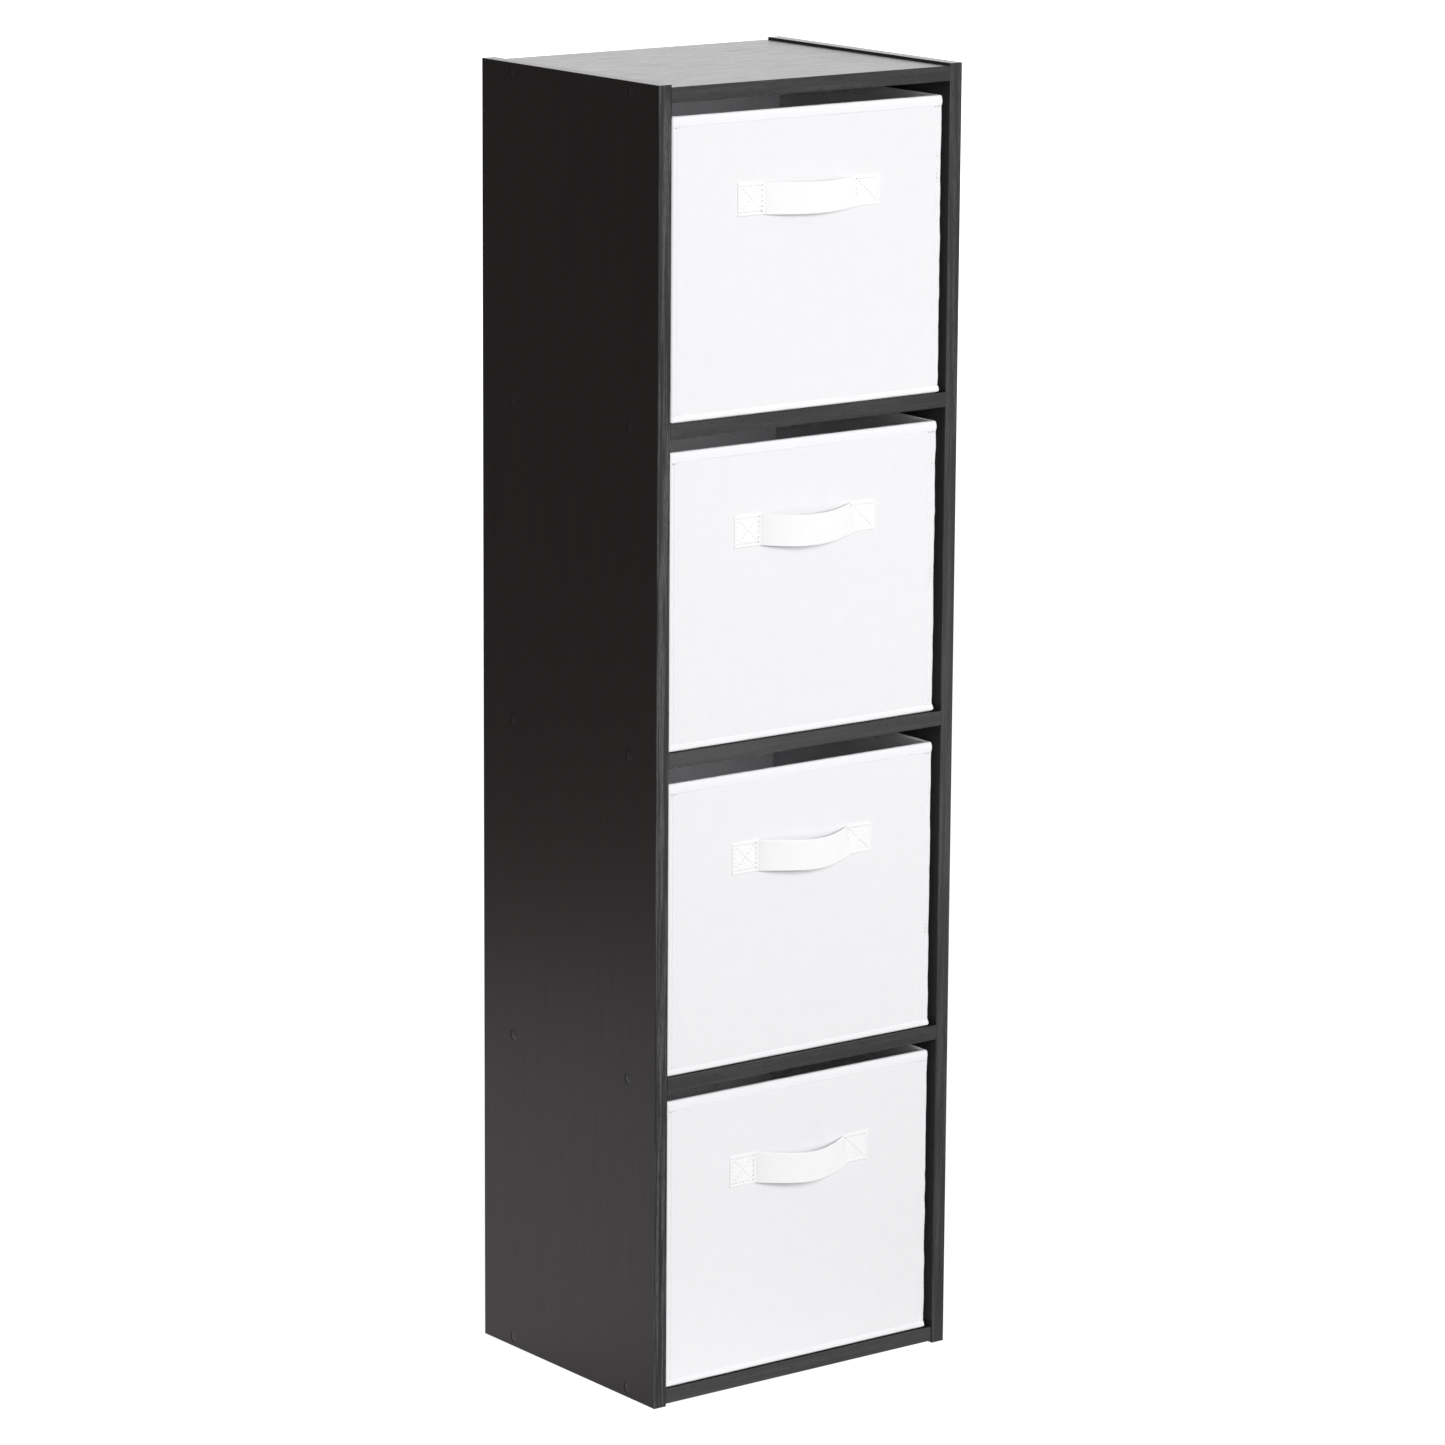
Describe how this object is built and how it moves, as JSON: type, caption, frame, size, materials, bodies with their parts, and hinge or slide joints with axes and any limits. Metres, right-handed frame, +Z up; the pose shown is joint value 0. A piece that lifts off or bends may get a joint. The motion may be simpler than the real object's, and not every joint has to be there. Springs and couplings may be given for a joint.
{
  "type": "cube storage unit",
  "caption": "Tall narrow cube storage tower of dark wood-grain boards, with a collapsible white fabric bin with a webbing handle in every cell.",
  "frame": {"origin": "on the floor, under the centre of the whole object's bounding box", "axes": "+X to the right seen from the front, +Y to the rear, +Z up; the bins pull out along -Y"},
  "size_m": [0.295, 0.2474, 1.05],
  "materials": {
    "black_laminate": "satin",
    "black_edge_band": "satin",
    "back_hardboard": "matte",
    "screw_steel": "satin",
    "cap_plastic": "satin",
    "dowel_wood": "matte",
    "white_fabric": "matte",
    "white_binding": "matte",
    "white_webbing": "matte",
    "base_board": "matte",
    "grey_board": "matte"
  },
  "bodies": {
    "cabinet": {"back_panel": "back_hardboard", "bottom_edge_band": "black_edge_band", "bottom_panel": "black_laminate", "left_dowels": "dowel_wood", "left_screw_caps": "cap_plastic", "left_screws": "screw_steel", "left_side_edge_band": "black_edge_band", "left_side_panel": "black_laminate", "lower_shelf": "black_laminate", "lower_shelf_edge_band": "black_edge_band", "middle_shelf": "black_laminate", "middle_shelf_edge_band": "black_edge_band", "right_dowels": "dowel_wood", "right_screw_caps": "cap_plastic", "right_screws": "screw_steel", "right_side_edge_band": "black_edge_band", "right_side_panel": "black_laminate", "top_edge_band": "black_edge_band", "top_panel": "black_laminate", "upper_shelf": "black_laminate", "upper_shelf_edge_band": "black_edge_band"},
    "bottom_bin": {"bottom_bin_base_binding": "white_binding", "bottom_bin_cover": "white_fabric", "bottom_bin_front_board": "grey_board", "bottom_bin_handle": "white_webbing", "bottom_bin_left_boards": "grey_board", "bottom_bin_rear_board": "grey_board", "bottom_bin_right_boards": "grey_board", "bottom_bin_rim_binding": "white_binding"},
    "bottom_base": {"bottom_bin_base_board": "base_board"},
    "lower_bin": {"lower_bin_base_binding": "white_binding", "lower_bin_cover": "white_fabric", "lower_bin_front_board": "grey_board", "lower_bin_handle": "white_webbing", "lower_bin_left_boards": "grey_board", "lower_bin_rear_board": "grey_board", "lower_bin_right_boards": "grey_board", "lower_bin_rim_binding": "white_binding"},
    "lower_base": {"lower_bin_base_board": "base_board"},
    "upper_bin": {"upper_bin_base_binding": "white_binding", "upper_bin_cover": "white_fabric", "upper_bin_front_board": "grey_board", "upper_bin_handle": "white_webbing", "upper_bin_left_boards": "grey_board", "upper_bin_rear_board": "grey_board", "upper_bin_right_boards": "grey_board", "upper_bin_rim_binding": "white_binding"},
    "upper_base": {"upper_bin_base_board": "base_board"},
    "top_bin": {"top_bin_base_binding": "white_binding", "top_bin_cover": "white_fabric", "top_bin_front_board": "grey_board", "top_bin_handle": "white_webbing", "top_bin_left_boards": "grey_board", "top_bin_rear_board": "grey_board", "top_bin_right_boards": "grey_board", "top_bin_rim_binding": "white_binding"},
    "top_base": {"top_bin_base_board": "base_board"}
  },
  "joints": [
    {"name": "bottom_bin_slide", "type": "slide", "parent": "cabinet", "child": "bottom_bin", "axis": [0, -1, 0], "range_m": [0, 0.22]},
    {"name": "bottom_base_lift", "type": "slide", "parent": "bottom_bin", "child": "bottom_base", "axis": [0, 0, 1], "range_m": [0, 0.235]},
    {"name": "lower_bin_slide", "type": "slide", "parent": "cabinet", "child": "lower_bin", "axis": [0, -1, 0], "range_m": [0, 0.22]},
    {"name": "lower_base_lift", "type": "slide", "parent": "lower_bin", "child": "lower_base", "axis": [0, 0, 1], "range_m": [0, 0.235]},
    {"name": "upper_bin_slide", "type": "slide", "parent": "cabinet", "child": "upper_bin", "axis": [0, -1, 0], "range_m": [0, 0.22]},
    {"name": "upper_base_lift", "type": "slide", "parent": "upper_bin", "child": "upper_base", "axis": [0, 0, 1], "range_m": [0, 0.235]},
    {"name": "top_bin_slide", "type": "slide", "parent": "cabinet", "child": "top_bin", "axis": [0, -1, 0], "range_m": [0, 0.22]},
    {"name": "top_base_lift", "type": "slide", "parent": "top_bin", "child": "top_base", "axis": [0, 0, 1], "range_m": [0, 0.235]}
  ]
}
